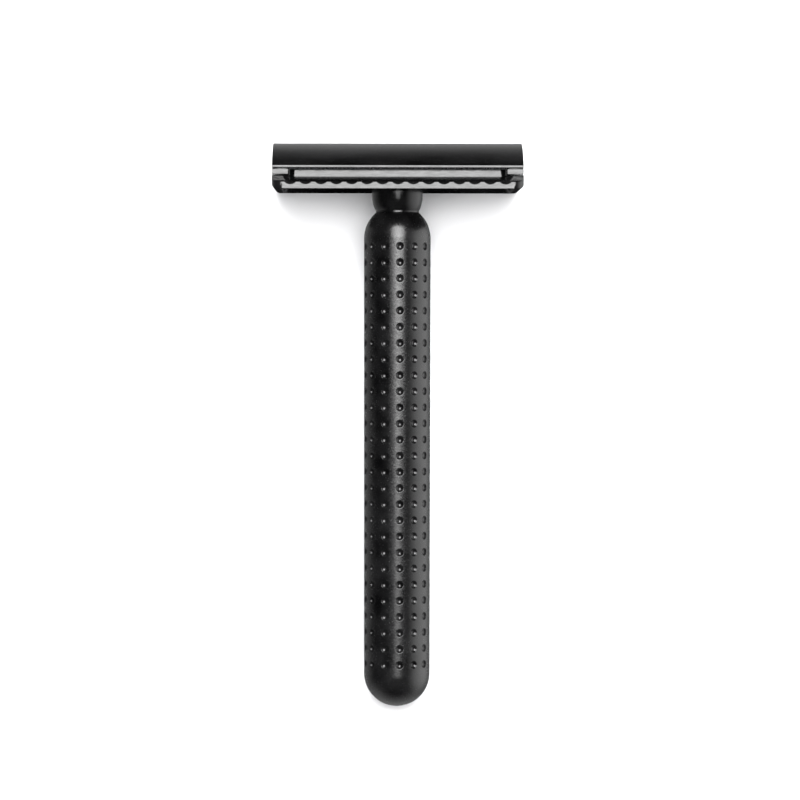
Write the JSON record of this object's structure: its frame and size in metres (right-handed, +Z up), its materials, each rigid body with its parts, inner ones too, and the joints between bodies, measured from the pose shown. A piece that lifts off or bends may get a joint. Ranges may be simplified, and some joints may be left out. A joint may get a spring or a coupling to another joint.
{
  "type": "double-edge safety razor",
  "caption": "Safety razor: a curved cap and scalloped base plate clamp a blade over a slim dimpled handle that unscrews.",
  "frame": {"origin": "on the surface that the razor lies on, below the middle of its box", "axes": "+Y along the lying razor towards its head, +X along the blade, +Z up out of the surface, which is the razor's front"},
  "size_m": [0.043, 0.0976, 0.0248],
  "materials": {
    "head_coating": "satin black coating",
    "handle_coating": "satin black coating with a fine grain",
    "bare_steel": "turned steel",
    "blade_steel": "fine ground steel",
    "insert_brass": "turned brass"
  },
  "bodies": {
    "base": {"base_plate": "head_coating"},
    "cap": {"cap": "head_coating", "threaded_stud": "bare_steel", "locating_post_left": "bare_steel", "locating_post_right": "bare_steel"},
    "blade": {"blade": "blade_steel"},
    "handle": {"handle_body": "handle_coating", "neck_collar": "handle_coating", "threaded_insert": "insert_brass"}
  },
  "joints": [
    {"name": "handle_turn", "type": "hinge", "parent": "base", "child": "handle", "pos_m": [0, 0.04054, 0.01236], "axis": [0, -0.9968, -0.0795], "range_deg": [0, 2250]},
    {"name": "cap_lift", "type": "slide", "parent": "base", "child": "cap", "axis": [0, 0.9968, 0.0795], "range_m": [0, 0.005]},
    {"name": "blade_lift", "type": "slide", "parent": "base", "child": "blade", "axis": [0, 0.9968, 0.0795], "range_m": [0, 0.0025]}
  ],
  "couplings": [
    {"joint": "cap_lift", "follows": "handle_turn", "m_per_rad": 0.0001273},
    {"joint": "blade_lift", "follows": "handle_turn", "m_per_rad": 0.00006365}
  ]
}
